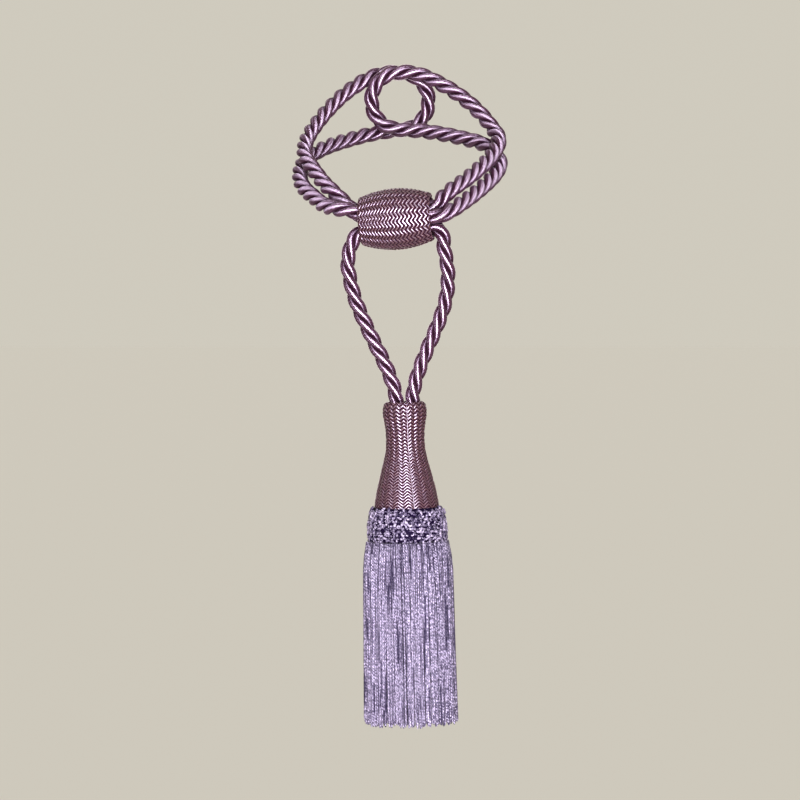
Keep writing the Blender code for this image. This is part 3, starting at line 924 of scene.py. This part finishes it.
def build_head(material):
    """The head's braided cover and the cord that closes it."""
    mould = Mould([(radius * MM, height * MM) for radius, height in HEAD_OUTLINE])
    # From just inside the collar up to the edge of the pocket.
    foot, rim = mould.lengths[5] - 2.5 * MM, mould.lengths[20]
    edges = graded_edges(foot, rim, HEAD_PITCHES)
    mesh = braided(
        "head_cover",
        mould,
        edges,
        HEAD_RIBS,
        rise=0.55 * MM,
        rib=0.45 * MM,
        slant=0.072,
        crest=HEAD_CREST,
        drift=HEAD_DRIFT,
        matrix=tassel_matrix(),
    )
    dress(mesh, material, "satin_braid", "tassel_head")

    # The closing cord lies straight in one valley of the herringbone.
    mesh, round_it, up_it = flat_grid("head_seam", SEAM_SIDES, SEAM_STEPS)
    along = edges[0] + up_it * (edges[-1] - edges[0])
    angle = HEAD_CREST + math.pi / HEAD_RIBS + HEAD_DRIFT * up_it
    radius, height = mould.at(along)
    side, up = mould.outward(along)
    out = SEAM_LIFT + SEAM_RADIUS * np.cos(math.tau * round_it)
    across = SEAM_RADIUS * np.sin(math.tau * round_it)
    x = (radius + out * side) * np.cos(angle) - across * np.sin(angle)
    y = (radius + out * side) * np.sin(angle) + across * np.cos(angle)
    # All of it has the look of a ring's glossy crown.
    set_winding(mesh, 0.3 * up_it, 0.35 + 0.3 * round_it, HEAD_RIBS)
    points = moved(np.column_stack([x, y, height + out * up]), tassel_matrix())
    dress(rolled_up("head_seam", mesh, points), material, "satin_braid", "tassel_head")


def build_band(material):
    """The band inside the trim, to which its knots are tied."""
    outer = [((radius - BAND_DEPTH) * MM, height * MM) for radius, height in COLLAR_OUTLINE]
    outline = [*outer, (COLLAR_INSIDE, outer[-1][1]), (COLLAR_INSIDE, outer[0][1])]
    bm = bmesh.new()
    verts = [bm.verts.new((radius, 0, height)) for radius, height in outline]
    edges = [bm.edges.new(pair) for pair in zip(verts, verts[1:] + verts[:1])]
    turn_outline(bm, verts, edges, BAND_STEPS)
    mesh = finished_mesh("collar_band", bm)
    set_coordinates(mesh, moved(coordinates(mesh), tassel_matrix()))
    dress(mesh, material, "knotted_trim", "collar")


def copies(name, template, count, place):
    """One mesh of many copies of the template. place gives a copy's points from its number and shape."""
    bm = bmesh.new()
    for _ in range(count):
        bm.from_mesh(template)
    mesh = bpy.data.meshes.new(name)
    bm.to_mesh(mesh)
    bm.free()
    shape = coordinates(template)
    set_coordinates(mesh, np.concatenate([place(number, shape) for number in range(count)]))
    winding = np.empty(len(mesh.loops) * 2, dtype=np.float32)
    uv = mesh.uv_layers["winding"]
    uv.data.foreach_get("uv", winding)
    winding = winding.reshape(count, -1, 2)
    winding[:, :, 0] += np.arange(count)[:, None]
    uv.data.foreach_set("uv", winding.ravel())
    bpy.data.meshes.remove(template)
    return mesh


def yarn_length(length):
    """A straight thread of radius 1 from z = 0 down to -1, its foot rounded off, wound for its length."""
    bm = bmesh.new()
    round_layer = bm.verts.layers.float.new("round")
    ring = bmesh.ops.create_circle(bm, segments=THREAD_SIDES, radius=1.0)["verts"]
    for vert in ring:
        vert[round_layer] = math.atan2(vert.co.y, vert.co.x) % math.tau / math.tau
    bmesh.ops.spin(
        bm,
        geom=ring + list(bm.edges),
        cent=(0, 0, 0),
        axis=(0, 0, 1),
        dvec=(0, 0, -1 / THREAD_STEPS),
        angle=0,
        steps=THREAD_STEPS,
    )
    # The last ring is the narrower foot, and the ring before comes close to it.
    for vert in bm.verts:
        if vert.co.z < -1 + 0.5 / THREAD_STEPS:
            vert.co.x *= THREAD_TAPER
            vert.co.y *= THREAD_TAPER
        elif vert.co.z < -1 + 1.5 / THREAD_STEPS:
            vert.co.z = -1 + 0.008
    mesh = finished_mesh("yarn_length", bm)
    set_winding(mesh, layer_values(mesh, "round"), coordinates(mesh)[:, 2] * length, 1.0)
    return mesh


def build_skirt(material):
    """Rings of threads that hang from the heading, gathered here and there, none quite straight."""
    draw = random.Random(11)
    matrix = tassel_matrix()
    for layer, (top, foot, count, thick) in enumerate(FRINGE_RINGS):
        clumps = [(waves, draw.uniform(0, math.tau), draw.uniform(0.6, 1.0)) for waves in SKIRT_GATHERS]
        habits = [[draw.uniform(-1, 1) for _ in range(8)] for _ in range(count)]

        def place(number, shape):
            # t runs from 0 at the heading to 1 at the foot. Lengths are in millimetres.
            spacing, wave, waviness, drift, proud, splay, uneven, late = habits[number]
            t = -shape[:, 2]
            base = math.tau * (number + 0.3 * spacing) / count
            gather = sum(
                size * np.sin(waves * base + start + 0.3 * late + 0.6 * t) / waves
                for waves, start, size in clumps
            )
            sway = 0.010 * wave * np.sin(math.pi * t * (1.5 + waviness)) + 0.008 * drift * t
            angle = base + gather * 0.5 * np.minimum(t * 2.5, 1.0) + sway * np.minimum(t * 4, 1.0)
            swell = np.sin(np.minimum(t * 6, 1.0) * math.pi / 2)
            spread = (foot - top) * (0.55 * swell + 0.45 * t)
            radius = top + spread + 0.5 * proud * swell + 0.35 * splay * t
            cos, sin = np.cos(angle), np.sin(angle)
            x = radius * cos + thick * (shape[:, 0] * cos - shape[:, 1] * sin)
            y = radius * sin + thick * (shape[:, 0] * sin + shape[:, 1] * cos)
            length = (SKIRT_TOP - SKIRT_FOOT + SKIRT_UNEVEN * uneven) / MM
            z = SKIRT_TOP / MM - t * length
            return moved(np.column_stack([x, y, z]) * MM, matrix)

        template = yarn_length((SKIRT_TOP - SKIRT_FOOT) / MM)
        mesh = copies(f"fringe_layer_{layer + 1}", template, count, place)
        dress(mesh, material, "fringe_yarn", "skirt")


def yarn_loop():
    """A short bent length of yarn: half a ring of radius 1, its ends tucked in."""
    bm = bmesh.new()
    round_layer = bm.verts.layers.float.new("round")
    along_layer = bm.verts.layers.float.new("along")
    ring = bmesh.ops.create_circle(bm, segments=6, radius=0.6)["verts"]
    for vert in ring:
        vert[round_layer] = math.atan2(vert.co.y, vert.co.x) % math.tau / math.tau
    bmesh.ops.translate(bm, vec=(1, 0, 0), verts=ring)
    arc = math.radians(200)
    bmesh.ops.spin(bm, geom=ring + list(bm.edges), cent=(0, 0, 0), axis=(0, 1, 0), angle=arc, steps=6)
    for vert in bm.verts:
        vert[along_layer] = math.atan2(vert.co.z, vert.co.x) % math.tau
    mesh = finished_mesh("yarn_loop", bm)
    set_winding(mesh, layer_values(mesh, "round"), layer_values(mesh, "along") * 1.2, 1.0)
    return mesh


def build_knots(material):
    """The trim's knots: rows of short bent yarns that lean to one side and the other, none set evenly."""
    draw = random.Random(5)
    matrix = tassel_matrix()
    face = Mould([(radius * MM, height * MM) for radius, height in reversed(COLLAR_OUTLINE)])
    whole = face.lengths[-1]
    spots = []
    for row in range(KNOT_ROWS):
        for step in range(KNOTS_IN_ROW):
            angle = math.tau * (step + 0.5 * (row % 2)) / KNOTS_IN_ROW
            spots.append(((row + 0.5) / KNOT_ROWS * whole, angle, row + step))
    habits = [[draw.uniform(-1, 1) for _ in range(7)] for _ in spots]

    def place(number, shape):
        along, angle, order = spots[number]
        climb, stray, bigger, tilt, roll, sunk, _ = habits[number]
        # The rows wave up and down three times round the collar, the upper ones most.
        along += 0.65 * MM * climb + 0.5 * MM * math.sin(3 * angle + 0.8) * along / whole
        angle += 0.025 * stray
        radius, height = face.at(along)
        side, up = face.outward(along)
        slope = math.atan2(up, side)
        size = (1.2 + 0.4 * bigger) * MM
        lean = math.radians(42 * (1 if order % 2 else -1) + 38 * tilt)
        turn = (
            Matrix.Rotation(angle, 4, "Z")
            @ Matrix.Translation((float(radius) - (0.25 + 0.5 * sunk) * MM, 0, float(height)))
            @ Matrix.Rotation(-slope, 4, "Y")
            @ Matrix.Rotation(lean, 4, "X")
            @ Matrix.Rotation(math.pi / 2, 4, "Z")
            @ Matrix.Rotation(math.radians(30 * roll), 4, "Y")
            @ Matrix.Scale(size, 4)
        )
        return moved(shape, matrix @ turn)

    mesh = copies("collar_knots", yarn_loop(), len(spots), place)
    dress(mesh, material, "knotted_trim", "collar")


def build_lights():
    """Softboxes aimed at the object, and a pale room round them."""
    for name, place, (width, height), brightness, colour in SOFTBOXES:
        data = bpy.data.lights.new(name, "AREA")
        data.shape = "RECTANGLE"
        data.size, data.size_y = width, height
        data.energy = brightness * math.pi * width * height
        data.color = linear(colour)[:3]
        light = bpy.data.objects.new(name, data)
        light.location = place
        aim = Vector(STUDIO_CENTRE) - Vector(place)
        light.rotation_euler = aim.to_track_quat("-Z", "Y").to_euler()
        light.visible_camera = False
        bpy.context.scene.collection.objects.link(light)
    world = bpy.data.worlds.new("pale studio")
    world.use_nodes = True
    tree = world.node_tree
    # Dim in front, where the softbox is, and brighter behind; seen itself, an even pale backdrop.
    place = add_node(tree, "TexCoord").node.outputs["Generated"]
    depth = add_node(tree, "SeparateXYZ", inputs={"Vector": place}).node.outputs["Y"]
    fading = {"From Min": -0.4, "From Max": 0.7, "To Min": ROOM_IN_FRONT, "To Max": ROOM_BEHIND}
    room = add_node(tree, "MapRange", inputs={"Value": depth, **fading})
    seen = add_node(tree, "LightPath").node.outputs["Is Camera Ray"]
    strength = add_node(tree, "MapRange", inputs={"Value": seen, "To Min": room, "To Max": BACKDROP})
    background = tree.nodes["Background"]
    background.inputs["Color"].default_value = linear("EAE5D8")
    tree.links.new(strength, background.inputs["Strength"])
    bpy.context.scene.world = world


def build_camera():
    """A camera in front of the object and a little above it."""
    data = bpy.data.cameras.new("camera")
    data.sensor_width = SENSOR_WIDTH
    data.lens = SENSOR_WIDTH * CAMERA_DISTANCE / VIEW_WIDTH
    camera = bpy.data.objects.new("camera", data)
    back = Vector((0, -math.cos(CAMERA_ELEVATION), math.sin(CAMERA_ELEVATION)))
    camera.location = Vector(CAMERA_TARGET) + CAMERA_DISTANCE * back
    camera.rotation_euler = (-back).to_track_quat("-Z", "Y").to_euler()
    bpy.context.scene.collection.objects.link(camera)
    bpy.context.scene.camera = camera


def build_floor():
    """A plain floor well below the object, out to the horizon."""
    bm = bmesh.new()
    bmesh.ops.create_grid(bm, x_segments=1, y_segments=1, size=FLOOR_REACH)
    bmesh.ops.translate(bm, vec=(0, 0, FLOOR_HEIGHT), verts=bm.verts)
    mesh = bpy.data.meshes.new("floor")
    bm.to_mesh(mesh)
    bm.free()
    mesh.materials.append(painted_floor())
    floor = bpy.data.objects.new("floor", mesh)
    bpy.context.scene.collection.objects.link(floor)


build_camera()
build_rope()
braid = satin_braid()
build_slider(braid)
build_head(braid)
build_band(trim_band())
# In each yarn the dark colour, the first of the three, is painted shade and also dims threads at random.
build_knots(twisted_yarn("knotted rayon trim", 0.9, "0C0420", "362A44", "B0A4B8", 0.3))
build_skirt(twisted_yarn("bullion fringe yarn", 1.9, "140C24", "443C50", "A69CB0", 0.36))
build_floor()
build_lights()
view = bpy.context.scene.view_settings
view.view_transform = "Standard"
view.look = "Medium High Contrast"
